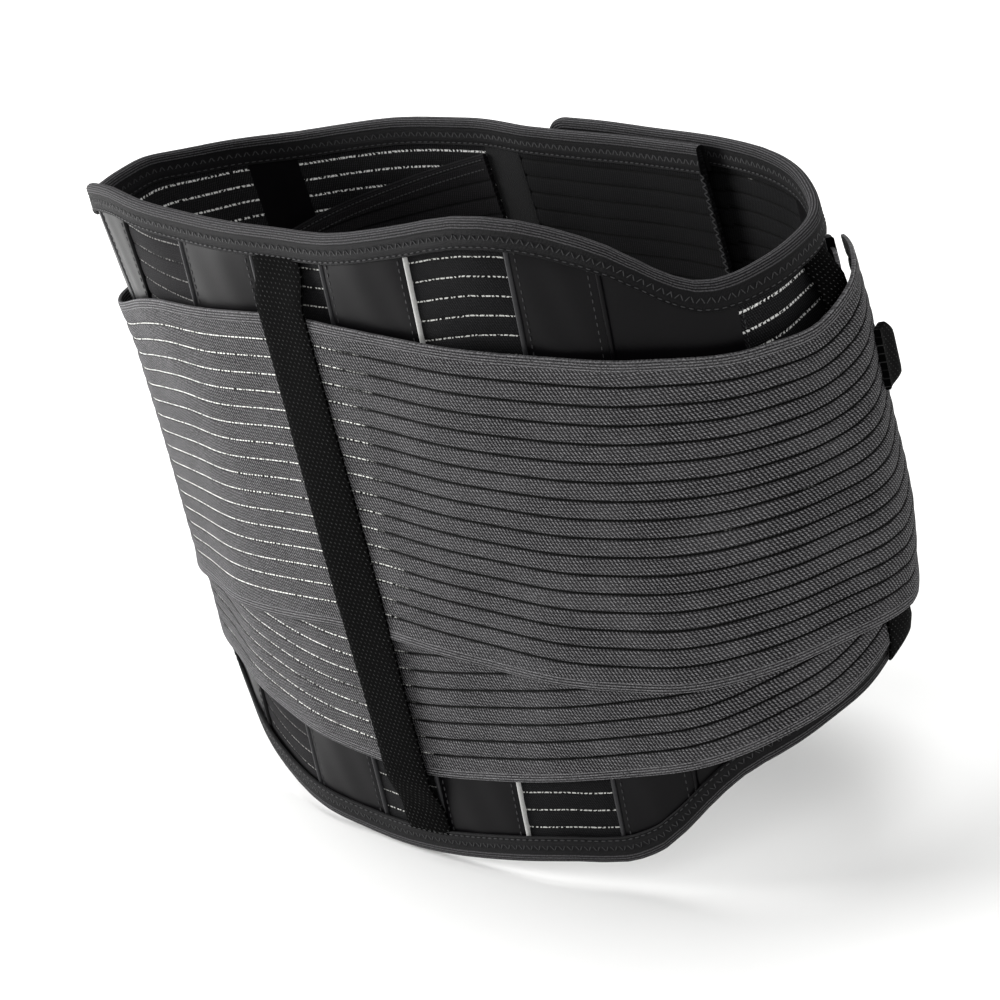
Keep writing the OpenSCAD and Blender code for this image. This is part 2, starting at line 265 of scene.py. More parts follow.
def rib_rows(ribs, margin, height):
    """Fractions of a panel's height for its rows of points, and each row's rib coordinate,
    which is a whole number in the grooves."""
    if not ribs:
        rows = np.linspace(0, 1, max(8, int(height / 5)) + 1)
        rows = np.concatenate(([0, 0.6 / height], rows[1:-1], [1 - 0.6 / height, 1]))
        return rows, np.full(len(rows), 0.5)
    inside = [0, 0.04, 0.09, 0.17, 0.32, 0.5, 0.68, 0.83, 0.91, 0.96]
    coordinate = np.array([r + o for r in range(ribs) for o in inside] + [ribs])
    first, last = margin / height, 1 - margin / height
    rows = first + (last - first) * coordinate / ribs
    hem = np.array([0, 0.5, 1.0, 2.0, 4.0]) / height
    hem = hem[hem < first * 0.9]
    spare = np.array([0.55, 0.3, 0.1]) * -1
    near = first + (last - first) * spare / ribs
    near = near[near > (hem[-1] if len(hem) else 0) + 0.002]
    low = np.concatenate((hem, near))
    rows_all = np.concatenate((low, rows, 1 - low[::-1]))
    low_rib = np.concatenate((np.full(len(hem), -0.5), (near - first) / (last - first) * ribs))
    low_rib = np.maximum(low_rib, -0.5)
    return rows_all, np.concatenate((low_rib, coordinate, ribs - low_rib[::-1]))


def groove(rib, depth, crown):
    """How far the cloth dips below its ribs' crests."""
    x = np.abs(rib - np.round(rib))
    return -depth * np.exp(-((x / 0.07) ** 2)) - crown * (1 - np.sin(math.pi * x))


def shell(p0, p1, low, high, inner, outer, ribs=0, margin=5.0, depth=(0.35, 0.35), crown=0.15,
          step=2.4, lean=None, threads=None, soft=0.45, slot=0):
    """One closed layer of cloth between two stations, two edge heights and two distances out.
    Returns its points, faces, UV in mm, rib, edge and thread values, flat area and material."""
    count = max(2, int(math.ceil((along(p1) - along(p0)) / step)))
    p = np.linspace(p0, p1, count + 1)
    height = float(np.mean(high(p) - low(p)))
    rows, rib = rib_rows(ribs, margin, height)
    P = np.repeat(p[:, None], len(rows), 1)
    Z = low(P) + (high(P) - low(P)) * rows[None]
    R = np.repeat(rib[None], len(p), 0)
    from_edge = np.minimum(rows, 1 - rows)[None] * (high(P) - low(P))
    S = P if lean is None else P + lean(Z)
    curl = soft * (1 - np.clip(from_edge / 1.0, 0, 1)) ** 2
    out = outer(P, Z) - curl + (groove(R, depth[1], crown) if ribs else 0)
    inn = inner(P, Z) + curl * 0.6 - (groove(R, depth[0], crown) if ribs else 0)
    points = np.concatenate([on_belt(S, Z, out).reshape(-1, 3), on_belt(S, Z, inn).reshape(-1, 3)])
    n, m = len(p), len(rows)
    index = np.arange(n * m).reshape(n, m)
    a, b, c, d = index[:-1, :-1], index[1:, :-1], index[1:, 1:], index[:-1, 1:]
    half = n * m
    faces = [np.stack((a, b, c, d), -1).reshape(-1, 4),
             np.stack((a, d, c, b), -1).reshape(-1, 4) + half]
    for edge, turned in ((index[:, 0], False), (index[:, -1], True),
                         (index[0], True), (index[-1], False)):
        e0, e1 = (edge[1:], edge[:-1]) if turned else (edge[:-1], edge[1:])
        faces.append(np.stack((e1, e0, e0 + half, e1 + half), -1))
    U = np.repeat(along(p)[:, None], m, 1)
    uv = np.stack((U, Z), -1).reshape(-1, 2)
    T = np.zeros_like(P) if threads is None else threads(P, Z)
    values = {"rib": R.ravel(), "edge": from_edge.ravel(),
              "threads": np.broadcast_to(T, P.shape).ravel()}
    width = along(p1) - along(p0)
    tall = high(p) - low(p)
    return {
        "points": points,
        "faces": np.concatenate(faces),
        "uv": np.concatenate((uv, uv)),
        "values": {key: np.concatenate((v, v)) for key, v in values.items()},
        "width": width,
        "tall": float(tall.max()),
        "area": width * float(tall.mean()),
        "slot": slot,
    }


def piece(name, shells, materials):
    """One object from one or more closed shells, smooth except at its rims."""
    points, faces, uv, slots, values = [], [], [], [], {}
    start = 0
    for part in shells:
        points.append(part["points"])
        faces += [tuple(int(i) + start for i in face) for face in part["faces"]]
        slots += [part["slot"]] * len(part["faces"])
        uv.append(part["uv"])
        for key in ("rib", "edge", "threads"):
            values.setdefault(key, []).append(part["values"][key])
        start += len(part["points"])
    mesh = bpy.data.meshes.new(name)
    mesh.from_pydata(np.concatenate(points).tolist(), [], faces)
    uv = np.concatenate(uv)
    corners = np.zeros(len(mesh.loops), int)
    mesh.loops.foreach_get("vertex_index", corners)
    mesh.uv_layers.new(name="UVMap").data.foreach_set("uv", uv[corners].ravel())
    for key, parts in values.items():
        mesh.attributes.new(key, "FLOAT", "POINT").data.foreach_set("value", np.concatenate(parts))
    for material in materials:
        mesh.materials.append(material)
    mesh.polygons.foreach_set("material_index", slots)
    mesh.polygons.foreach_set("use_smooth", [True] * len(mesh.polygons))
    mesh.set_sharp_from_angle(angle=math.radians(62))
    made = bpy.data.objects.new(name + "_cloth", mesh)
    scene.collection.objects.link(made)
    return made


def bend_at_wing(made, side):
    """Bakes a piece's placement into its mesh. The wing seam's ends are worked out but not used."""
    start, end = (Vector(on_belt(side * p, 130, 1.5)) for p in HINGE_SPAN)
    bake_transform(made)


def cloth(name, shells, materials, body=None, side=0):
    """A piece of cloth that stands for the CAD node of the same name. It rides on one body,
    or, given a side, keeps its place with its placement baked in."""
    made = piece(name, shells, materials)
    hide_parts(name)
    if side:
        bend_at_wing(made, side)
    else:
        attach(made, body)


# Ribbed knit elastic: nylon and elastane, matt black, with a fine slanting stitch on the
# ribs, grooves painted near black as shade, and white threads that catch the light in them.
def ribbed_elastic(name, light, dark, groove_shade, thread, stitch_mm, roughness, strand=0.05):
    material, node = finish_of(name)
    place = node("UVMap", uv_map="UVMap")
    u, v = node("SeparateXYZ", [place], None).outputs[:2]
    rib, edge, threads_and_painted_light = (node("Attribute", out="Fac", attribute_name=key)
                       for key in ("rib", "edge", "threads"))
    # Rows of slanting stitches, each row set half a stitch along from the last
    row = node("Math", [v, stitch_mm], operation="DIVIDE")
    whole = node("Math", [row], operation="FLOOR")
    part = node("Math", [row, whole], operation="SUBTRACT")
    slant = node("Math", [part, 0.75], operation="MULTIPLY")
    shift = node("Math", [whole, 0.5, slant], operation="MULTIPLY_ADD")
    column = node("Math", [u, stitch_mm], operation="DIVIDE")
    turns = node("Math", [column, shift], operation="ADD")
    wave = node("Math", [node("Math", [turns, 2 * math.pi], operation="MULTIPLY")],
                operation="SINE")
    arch = node("Math", [node("Math", [part, math.pi], operation="MULTIPLY")], operation="SINE")
    across = node("MapRange", [wave, -0.5, 0.7], interpolation_type="SMOOTHSTEP")
    upward = node("MapRange", [arch, 0.05, 0.6], interpolation_type="SMOOTHSTEP")
    stitch = node("Math", [across, upward], operation="MULTIPLY")
    # The selvedge has fine straight cords instead, 1.1 mm apart
    cords = node("Math", [edge, 2 * math.pi / 1.1], operation="MULTIPLY")
    cord = node("MapRange", [node("Math", [cords], operation="SINE"), -0.4, 0.6],
                interpolation_type="SMOOTHSTEP")
    inland = node("MapRange", [edge, 3.6, 4.4], interpolation_type="SMOOTHSTEP")
    at_edge = node("Math", [1.0, inland], operation="SUBTRACT")
    change = node("Math", [cord, stitch], operation="SUBTRACT")
    share = node("Math", [at_edge, 0.75], operation="MULTIPLY")
    yarn = node("Math", [change, share, stitch], operation="MULTIPLY_ADD")
    # Worn patches are a little paler
    blotch = node("TexNoise", {"Vector": place, "Scale": 0.045, "Detail": 3.0})
    grain = node("TexNoise", {"Vector": place, "Scale": 1.6, "Detail": 2.0})
    speckle = node("MapRange", [grain, 0.2, 0.75], interpolation_type="SMOOTHSTEP")
    yarn_tone = node("Math", [yarn, speckle], operation="MULTIPLY")
    tone = node("Mix", {0: yarn_tone, 6: linear(dark), 7: linear(light)}, 2, data_type="RGBA")
    worn = node("MapRange", [blotch, 0.35, 0.75], interpolation_type="SMOOTHSTEP")
    fade = node("Math", [worn, 0.07], operation="MULTIPLY")
    faded = node("Mix", {0: fade, 6: tone, 7: linear(light)}, 2, data_type="RGBA")
    # The grooves between the ribs are near black, a painted shade in the dips
    nearest = node("Math", [rib], operation="ROUND")
    off = node("Math", [node("Math", [rib, nearest], operation="SUBTRACT")],
               operation="ABSOLUTE")
    on_rib = node("MapRange", [off, 0.035, 0.12], interpolation_type="SMOOTHSTEP")
    in_dip = node("Math", [1.0, on_rib], operation="SUBTRACT")
    groove_shaded = node("Mix", {0: in_dip, 6: faded, 7: linear(groove_shade)}, 2, data_type="RGBA")
    # White threads lie in the grooves, broken into dashes about 2 mm apart
    jitter = node("TexNoise", {"Vector": place, "Scale": 0.5, "Detail": 2.0})
    wander = node("Math", [jitter, 14.0], operation="MULTIPLY")
    pace = node("Math", [u, 2 * math.pi / 2.0, wander], operation="MULTIPLY_ADD")
    dash = node("MapRange", [node("Math", [pace], operation="SINE"), -0.55, 0.1],
                interpolation_type="SMOOTHSTEP")
    patch = node("TexNoise", {"Vector": place, "Scale": 0.07, "Detail": 2.0})
    uneven = node("Math", [node("Math", [patch, 0.5], operation="SUBTRACT"), 1.1],
                  operation="MULTIPLY")
    # How much thread shows comes from the threads value, which on the bands is painted light
    shown = node("MapRange", [node("Math", [threads_and_painted_light, uneven], operation="ADD"), 0.35, 0.65],
                 interpolation_type="SMOOTHSTEP")
    beside = node("MapRange", [off, strand * 0.45, strand], interpolation_type="SMOOTHSTEP")
    thin = node("Math", [1.0, beside], operation="SUBTRACT")
    dashes = node("Math", [thin, dash], operation="MULTIPLY")
    white = node("Math", [dashes, shown], operation="MULTIPLY")
    colour = node("Mix", {0: white, 6: groove_shaded, 7: linear(thread)}, 2, data_type="RGBA")
    rough = node("Math", [grain, 0.5], operation="MULTIPLY")
    bump = node("Bump", {"Height": node("Math", [yarn, rough], operation="ADD"),
                         "Strength": 0.55, "Distance": 0.00035})
    shader = node("BsdfPrincipled", {"Base Color": colour, "Roughness": roughness,
                                     "Normal": bump, "Specular IOR Level": 0.1})
    node("OutputMaterial", {"Surface": shader}, None)
    return material


# The third colour of each elastic is the painted shade in its grooves
black_elastic = ribbed_elastic("black_ribbed_elastic", "#212123", "#060607", "#020202", "#c6c6c2",
                               1.05, 0.8)
# Painted light: a paler copy with brighter, wider threads, for the side panels and the left front,
# whose inner faces show lit
painted_light_elastic = ribbed_elastic("painted_light_ribbed_elastic", "#333335", "#0b0b0c", "#030303", "#f0f0ee",
                              1.05, 0.8, 0.085)
# Elastics that are pulled less show only grey threads
slack_elastic = ribbed_elastic("slack_ribbed_elastic", "#2a292b", "#0a090b", "#030304", "#82817f",
                               1.05, 0.8)


def body_low(p):
    return bottom_z(p) + 0.8


def body_high(p):
    return top_z(p) - 0.8


def pucker(p, z, p0, p1):
    """The elastic's slack between two stiff casings, which only lifts outward."""
    middle = np.sin(math.pi * np.clip((p - p0) / (p1 - p0), 0, 1))
    return middle * (0.35 + 0.35 * np.sin(0.09 * z + 0.3 * p))


def elastic_panel(name, p0, p1, material, threads, body=None, side=0, puckers=True):
    """A ribbed panel of the belt's own body, from binding to binding."""
    tall = float(np.mean(top_z(np.linspace(p0, p1, 9)) - bottom_z(np.linspace(p0, p1, 9))))
    ribs = round(tall / RIB_PITCH) - 1
    lift = (lambda p, z: pucker(p, z, p0, p1)) if puckers else (lambda p, z: 0 * p)
    part = shell(p0, p1, body_low, body_high, lambda p, z: tuck(p) + 0.1 + lift(p, z),
                 lambda p, z: tuck(p) + ELASTIC + lift(p, z), ribs=ribs, margin=RIB_PITCH * 0.7,
                 threads=threads)
    cloth(name, [part], [material], body, side)


elastic_panel("centre_elastic", -BACK_CASING[0], BACK_CASING[0], black_elastic,
              lambda p, z: 0.62 + 0 * p, "back")
elastic_panel("back_elastic_left", -FLANK_CASING[0], -BACK_CASING[1], slack_elastic,
              lambda p, z: 0.6 + 0 * p, "back")
elastic_panel("back_elastic_right", BACK_CASING[1], FLANK_CASING[0], black_elastic,
              lambda p, z: 0.78 + 0 * p, "back")

# ---------------------------------------------------------------- stay casings
# Long satin pockets sewn over the elastic hold the stays. Each is folded under along both
# sides, and the folded edge is topstitched, so it stands up as a thin rounded lip.

SIDES = (("left", -1), ("right", 1))


# Satin: polyester filament woven with long floats, so it has a broad soft gleam and a very
# fine grain. The lip is the same cloth on its fold, where it shines brightest, and that shine is
# painted into its lighter colours: a painted sheen, and on one lip a near-white painted highlight.
def satin(name, colour, deep, roughness, gloss):
    material, node = finish_of(name)
    place = node("UVMap", uv_map="UVMap")
    stretch = node("Mapping", {"Vector": place, "Scale": (1.0, 0.35, 1.0)})
    grain = node("TexNoise", {"Vector": stretch, "Scale": 2.4, "Detail": 4.0})
    drift = node("TexNoise", {"Vector": place, "Scale": 0.03, "Detail": 2.0})
    both = node("Math", [grain, 0.5, drift], operation="MULTIPLY_ADD")
    fac = node("MapRange", [both, 0.55, 0.95])
    tone = node("Mix", {0: fac, 6: linear(deep), 7: linear(colour)}, 2, data_type="RGBA")
    bump = node("Bump", {"Height": grain, "Strength": 0.25, "Distance": 0.00012})
    shader = node("BsdfPrincipled", {"Base Color": tone, "Roughness": roughness,
                                     "Normal": bump, "Specular IOR Level": gloss})
    node("OutputMaterial", {"Surface": shader}, None)
    return material


black_satin = satin("black_satin", "#0b0a0c", "#060507", 0.4, 0.1)
# Painted sheen and painted highlight: the fold's own black satin, coloured paler for its shine
lip_painted_sheen = satin("fold_painted_sheen", "#303032", "#202022", 0.42, 0.25)
lip_painted_highlight = satin("fold_painted_highlight", "#c8c8c6", "#a4a4a2", 0.45, 0.4)


# Sewing thread: spun polyester, matt, dark grey against the black cloth.
def spun_polyester():
    material, node = finish_of("dark_thread")
    place = node("TexCoord", out="Object")
    ply = node("TexNoise", {"Vector": place, "Scale": 2500.0, "Detail": 2.0})
    tone = node("Mix", {0: ply, 6: linear("#343436"), 7: linear("#1b1b1c")}, 2,
                data_type="RGBA")
    bump = node("Bump", {"Height": ply, "Strength": 0.4, "Distance": 0.0001})
    shader = node("BsdfPrincipled", {"Base Color": tone, "Roughness": 0.6, "Normal": bump})
    node("OutputMaterial", {"Surface": shader}, None)
    return material


dark_thread = spun_polyester()

HEXAGON = ((-0.5, 0), (-0.3, -0.5), (0.3, -0.5), (0.5, 0), (0.3, 0.5), (-0.3, 0.5))


def stitch_run(p, z, d, pitch=3.0, length=2.2, width=0.55, zigzag=0.0):
    """One line of stitches through points at stations p, heights z and distances d. With a
    zigzag angle, every second stitch slants the other way."""
    p, z, d = np.broadcast_arrays(np.asarray(p, float), np.asarray(z, float), np.asarray(d, float))
    path = on_belt(p, z, d)
    run = np.concatenate(([0], np.cumsum(np.linalg.norm(np.diff(path, axis=0), axis=1)))) * 1000
    at = np.arange(pitch / 2, run[-1], pitch)
    ps, zs, ds = (np.interp(at, run, values) for values in (p, z, d))
    centre = on_belt(ps, zs, ds)
    ahead = np.stack([np.interp(at + 0.5, run, path[:, i]) - np.interp(at - 0.5, run, path[:, i])
                      for i in range(3)], -1)
    out = on_belt(ps, zs, ds + 1) - centre
    ahead /= np.linalg.norm(ahead, axis=1)[:, None]
    out /= np.linalg.norm(out, axis=1)[:, None]
    beside = np.cross(out, ahead)
    lean = np.radians(zigzag) * np.where(np.arange(len(at)) % 2, 1, -1)[:, None]
    ahead, beside = (ahead * np.cos(lean) + beside * np.sin(lean),
                     beside * np.cos(lean) - ahead * np.sin(lean))
    points, faces = [], []
    for level, scale in ((-0.15, 1.0), (0.22, 0.6)):
        for x, y in HEXAGON:
            points.append(centre + (ahead * x * length * scale ** 0.3 + beside * y * width * scale
                                    + out * level) / 1000)
    points = np.stack(points, 1).reshape(-1, 3)
    for i in range(len(at)):
        base = i * 12
        faces += [(base + j, base + (j + 1) % 6, base + 6 + (j + 1) % 6, base + 6 + j)
                  for j in range(6)]
        faces += [tuple(base + 6 + j for j in range(6)), tuple(base + 5 - j for j in range(6))]
    return points, faces


def stitching(name, runs, body=None, side=0):
    """One object from several lines of stitches."""
    points, faces, start = [], [], 0
    for run_points, run_faces in runs:
        points.append(run_points)
        faces += [tuple(i + start for i in face) for face in run_faces]
        start += len(run_points)
    mesh = bpy.data.meshes.new(name)
    mesh.from_pydata(np.concatenate(points).tolist(), [], faces)
    mesh.materials.append(dark_thread)
    made = bpy.data.objects.new(name, mesh)
    scene.collection.objects.link(made)
    if side:
        bend_at_wing(made, side)
    else:
        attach(made, body)


def bulge(p, p0, p1):
    """The rounded back of a padded pocket, from 0 at its seams to 1 at its middle."""
    return np.sin(math.pi * np.clip((p - p0) / (p1 - p0), 0, 1)) ** 0.4


def caught(p, z):
    """A casing is flattened where the bindings hold it."""
    return ramp(np.minimum(z - bottom_z(p), top_z(p) - z), 2, 14)


def upright_lip(p, slot, width=1.9, low_d=1.9, high_d=3.05):
    """A thin rounded fold of cloth standing along a seam."""
    half = width / 2 / (along(p + 0.5) - along(p - 0.5))

    def crest(q, z):
        round_top = np.sqrt(np.clip(1 - ((q - p) / half) ** 2, 0.02, 1))
        return low_d + (high_d - low_d) * round_top * (0.4 + 0.6 * caught(q, z))

    return shell(p - half, p + half, body_low, body_high, lambda q, z: low_d - 0.3 + tuck(q),
                 lambda q, z: crest(q, z) + tuck(q), step=width / 6, slot=slot)


def casing(name, p0, p1, body, lips):
    """Two layers of satin with the stay's pocket between them, and their folded lips."""
    lining = shell(p0, p1, body_low, body_high, lambda p, z: tuck(p),
                   lambda p, z: tuck(p) + 0.8, step=3)
    cover = shell(p0, p1, body_low, body_high,
                  lambda p, z: tuck(p) + 0.85 + 1.3 * bulge(p, p0, p1) * caught(p, z),
                  lambda p, z: tuck(p) + 1.75 + (1.25 * bulge(p, p0, p1)
                  + 0.12 * np.sin(0.11 * z + p)) * caught(p, z), step=1.6)
    shells = [lining, cover]
    stitches = []
    for at, slot in lips:
        shells.append(upright_lip(at, slot))
        inset = 3.4 if at < (p0 + p1) / 2 else -3.4
        q = at + inset / (along(at + 0.5) - along(at - 0.5))
        z = np.linspace(body_low(q) + 3, body_high(q) - 3, 60)
        d = 1.78 + 1.25 * bulge(q, p0, p1)
        stitches.append(stitch_run(q, z, d + tuck(q), length=1.9, width=0.45))
    cloth(name, shells, [black_satin, lip_painted_sheen, lip_painted_highlight], body)
    stitching(name + "_stitches", stitches, body)


# Lip slot 1 carries the painted sheen, slot 2 the near-white painted highlight
for word, side in SIDES:
    ends = sorted(side * p for p in BACK_CASING)
    casing(f"back_casing_{word}", *ends, "back",
           ((ends[0], 1), (ends[1], 2 if side > 0 else 1)))
for word, side in SIDES:
    ends = sorted(side * p for p in FLANK_CASING)
    casing(f"flank_casing_{word}", *ends, "back", ((ends[0], 1), (ends[1], 0)))

# ---------------------------------------------------------------- stays
# Flat strips of sprung steel with a dull rolled face slide in the casings and keep the belt
# upright. They stay as the frame has them.


# Spring steel: cold rolled, with fine lines along the strip and a slight blue-grey cast.
def spring_steel():
    material, node = finish_of("spring_steel")
    place = node("TexCoord", out="Object")
    drawn = node("Mapping", {"Vector": place, "Scale": (900.0, 900.0, 8.0)})
    lines = node("TexNoise", {"Vector": drawn, "Scale": 1.0, "Detail": 3.0})
    tone = node("Mix", {0: lines, 6: linear("#8f9296"), 7: linear("#b9bcc0")}, 2,
                data_type="RGBA")
    bump = node("Bump", {"Height": lines, "Strength": 0.2, "Distance": 0.00005})
    shader = node("BsdfPrincipled", {"Base Color": tone, "Roughness": 0.32, "Normal": bump,
                                     "Metallic": 1.0})
    node("OutputMaterial", {"Surface": shader}, None)
    return material


steel = spring_steel()
for place_name in ("back", "flank", "front"):
    for word, side in SIDES:
        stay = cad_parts[f"{place_name}_stay_{word}"]
        stay.data.materials.clear()
        stay.data.materials.append(steel)

# ---------------------------------------------------------------- flank panels
# Plain panels of the casing satin run on from the flank casings to the wing seams, divided
# from them by one line of stitches.

WING_SEAM = 73.3
CLEAR = 0.2

for word, side in SIDES:
    ends = sorted((side * FLANK_CASING[1], side * (WING_SEAM + CLEAR)))

    def smooth_face(p, z):
        near = ramp(np.abs(p), FLANK_CASING[1], FLANK_CASING[1] + 3)
        return 1.75 + 0.55 * near + 0.1 * np.sin(0.06 * z + 0.2 * p)

    part = shell(*ends, body_low, body_high, lambda p, z: 0.2 + 0 * p, smooth_face, step=2.2)
    cloth(f"flank_panel_{word}", [part], [black_satin], side=side)
    seam = side * FLANK_CASING[1]
    z = np.linspace(body_low(seam) + 3, body_high(seam) - 3, 60)
    stitching(f"flank_seam_{word}", [stitch_run(seam, z, 1.9, length=1.5, width=0.5, pitch=2.6)],
              "back")

# ---------------------------------------------------------------- side and front elastics
# The belt's wings are the same ribbed elastic. They are sewn to the flank panels at the wing
# seams, and a second panel on each side carries on past the front stay.

FRONT_CASING = (120.0, 130.5)
RIGHT_FRONT_IN = 151.0

# The side panels wear the paler painted-light copy of the elastic
for word, side in SIDES:
    ends = sorted((side * (WING_SEAM - CLEAR), side * FRONT_CASING[0]))
    elastic_panel(f"side_elastic_{word}", *ends, painted_light_elastic, lambda p, z: 0.85 + 0 * p,
                  side=side, puckers=False)
    seam = side * (WING_SEAM + 1.4)
    z = np.linspace(body_low(seam) + 3, body_high(seam) - 3, 60)
    stitching(f"wing_seam_{word}", [stitch_run(seam, z, 1.85, length=1.6, width=0.5, pitch=2.4)],
              side=side)

# The left front also wears the painted-light copy of the elastic
elastic_panel("front_elastic_left", -CLOSURE_CASING[0], -FRONT_CASING[1], painted_light_elastic,
              lambda p, z: 0.85 + 0 * p, "left_front", puckers=False)
elastic_panel("front_elastic_right", FRONT_CASING[1], RIGHT_FRONT_IN, black_elastic,
              lambda p, z: 0.2 + 0 * p, "right_front", puckers=False)
for word, side in SIDES:
    ends = sorted(side * p for p in FRONT_CASING)
    casing(f"front_casing_{word}", *ends, f"{word}_front", ((ends[0], 1), (ends[1], 1)))

# ---------------------------------------------------------------- closure
# The left front ends in a plain cut edge that lies inside the right one. Its velour casing
# covers the seam to the end panel, whose outside carries the loop tape.

LEFT_END = 208.5


# Brushed velour: short upstanding nylon pile, deep and soft, paler where it is rubbed.
def pile(name, colour, deep, scale, lift):
    material, node = finish_of(name)
    place = node("UVMap", uv_map="UVMap")
    fuzz = node("TexNoise", {"Vector": place, "Scale": scale, "Detail": 5.0})
    rub = node("TexNoise", {"Vector": place, "Scale": 0.12, "Detail": 3.0})
    both = node("Math", [rub, 0.6, fuzz], operation="MULTIPLY_ADD")
    fac = node("MapRange", [both, 0.55, 1.05])
    tone = node("Mix", {0: fac, 6: linear(deep), 7: linear(colour)}, 2, data_type="RGBA")
    bump = node("Bump", {"Height": fuzz, "Strength": 0.8, "Distance": lift})
    shader = node("BsdfPrincipled", {"Base Color": tone, "Roughness": 0.9, "Normal": bump,
                                     "Sheen Weight": 0.03, "Sheen Roughness": 0.6,
                                     "Specular IOR Level": 0.15})
    node("OutputMaterial", {"Surface": shader}, None)
    return material


velour = pile("brushed_velour", "#0c0c0e", "#050506", 1.3, 0.0006)
loop_tape = pile("loop_tape", "#1f1f22", "#09090b", 2.2, 0.0008)


# Hook tape: rows of stiff moulded nylon hooks, drawn 1.5 mm apart so that the rows show.
def hook_tape_finish():
    material, node = finish_of("hook_tape")
    place = node("UVMap", uv_map="UVMap")
    dots = node("TexVoronoi", {"Vector": place, "Scale": 0.66, "Randomness": 0.12},
                "Distance")
    peak = node("MapRange", [dots, 0.1, 0.4, 1.0, 0.0])
    tone = node("Mix", {0: peak, 6: linear("#0b0b0c"), 7: linear("#3c3c3f")}, 2,
                data_type="RGBA")
    bump = node("Bump", {"Height": peak, "Strength": 1.0, "Distance": 0.0007})
    shader = node("BsdfPrincipled", {"Base Color": tone, "Roughness": 0.42, "Normal": bump})
    node("OutputMaterial", {"Surface": shader}, None)
    return material


def soft_panel(name, p0, p1, low, high, inner, outer, material, slot, body, held="stretched",
               layers=1, **more):
    """A piece of cloth in one layer, from its edges and faces."""
    part = shell(p0, p1, low, high, inner, outer, **more)
    cloth(name, [part], [material], body)


elastic_panel("front_panel_left", -LEFT_END, -CLOSURE_CASING[1], black_elastic,
              lambda p, z: 0.15 + 0 * p, "left_front", puckers=False)
soft_panel("closure_casing_left", -CLOSURE_CASING[1], -CLOSURE_CASING[0], body_low, body_high,
           lambda p, z: tuck(p) - 0.5 * bulge(p, -CLOSURE_CASING[1], -CLOSURE_CASING[0]),
           lambda p, z: tuck(p) + ELASTIC + 0.5, velour, "lining_velour", "left_front", step=1.5)
end_z = np.linspace(body_low(-LEFT_END) + 1, body_high(-LEFT_END) - 1, 60)
overlock = [stitch_run(-LEFT_END + 0.5, end_z, tuck(-LEFT_END) + d, pitch=1.5, length=3.0, zigzag=62)
            for d in (0.0, ELASTIC + 0.05)]
stitching("left_end_overlock", overlock, "left_front")


PAD_INSET = 19.0


def pad_low(p):
    return bottom_z(p) + PAD_INSET


def pad_high(p):
    return top_z(p) - PAD_INSET


soft_panel("loop_pad_left", -LEFT_END + 1.5, -CLOSURE_CASING[1] - 4, pad_low, pad_high,
           lambda p, z: tuck(p) + ELASTIC + 0.1, lambda p, z: tuck(p) + ELASTIC + 1.3,
           loop_tape, "loop_tape", "left_front", "laid")
pad_edge = np.linspace(-LEFT_END + 2.2, -CLOSURE_CASING[1] - 4.7, 40)
stitching("loop_pad_stitches", [
    stitch_run(pad_edge, edge_z(pad_edge) + inset, tuck(pad_edge) + ELASTIC + 1.3)
    for edge_z, inset in ((pad_low, 2), (pad_high, -2))], "left_front")

# ---------------------------------------------------------------- inner gusset
# A tapering flap of ribbed elastic is sewn inside the left front, at the closure casing and
# at the front stay. Its top edge is hemmed with two lines of grey stitches.

GUSSET_SPAN = 41.0

def gusset_low(p):
    return 90 + 32 * (CLOSURE_CASING[0] + p) / GUSSET_SPAN


def gusset_high(p):
    return 230.5 - 34 * (CLOSURE_CASING[0] + p) / GUSSET_SPAN


soft_panel("inner_gusset_left", -CLOSURE_CASING[0], -FRONT_CASING[0] - 3, gusset_low,
           gusset_high, lambda p, z: tuck(p) - 2.4, lambda p, z: tuck(p) - 0.5, slack_elastic,
           "ribbed_elastic", "left_front", ribs=15, margin=9.0,
           threads=lambda p, z: 0.1 + 0 * p)
hem = np.linspace(-CLOSURE_CASING[0] + 0.5, -FRONT_CASING[0] - 3.5, 60)
stitching("inner_gusset_stitches",
          [stitch_run(hem, gusset_high(hem) - drop, tuck(hem) - 2.45, pitch=2.2, length=1.6)
           for drop in (2.2, 6.5)], "left_front")

# ---------------------------------------------------------------- right front end
# The right front is the outer one. It ends in a rounded tongue of ribbed elastic, with the
# hook tape sewn inside it, facing the loop tape.

RIGHT_END = 182.0
CORNER_SPAN = 3.2
CORNER_DROP = 8.0


def corner_drop(p):
    t = np.clip((p - (RIGHT_END - CORNER_SPAN)) / CORNER_SPAN, 0, 1)
    return CORNER_DROP * (1 - np.sqrt(np.clip(1 - t * t, 0, 1)))


soft_panel("front_panel_right", RIGHT_FRONT_IN, RIGHT_END - 0.3,
           lambda p: body_low(p) + corner_drop(p), lambda p: body_high(p) - corner_drop(p),
           lambda p, z: 0.1 + 0 * p, lambda p, z: ELASTIC + 0 * p, black_elastic,
           "ribbed_elastic", "right_front", ribs=21, margin=5.5,
           threads=lambda p, z: 0.2 + 0 * p)
soft_panel("hook_pad_right", RIGHT_FRONT_IN + 4, RIGHT_END - 7, pad_low, pad_high,
           lambda p, z: -1.4 + 0 * p, lambda p, z: -0.1 + 0 * p, hook_tape_finish(),
           "hook_tape", "right_front", "laid")
pad_edge = np.linspace(RIGHT_FRONT_IN + 4.5, RIGHT_END - 7.5, 30)
stitching("hook_pad_stitches",
          [stitch_run(pad_edge, edge_z(pad_edge) + inset, ELASTIC + 0.05)
           for edge_z, inset in ((pad_low, 2), (pad_high, -2))]
          + [stitch_run(p, np.linspace(pad_low(p) + 2, pad_high(p) - 2, 40), ELASTIC + 0.05)
             for p in (RIGHT_FRONT_IN + 4.8, RIGHT_END - 7.8)], "right_front")

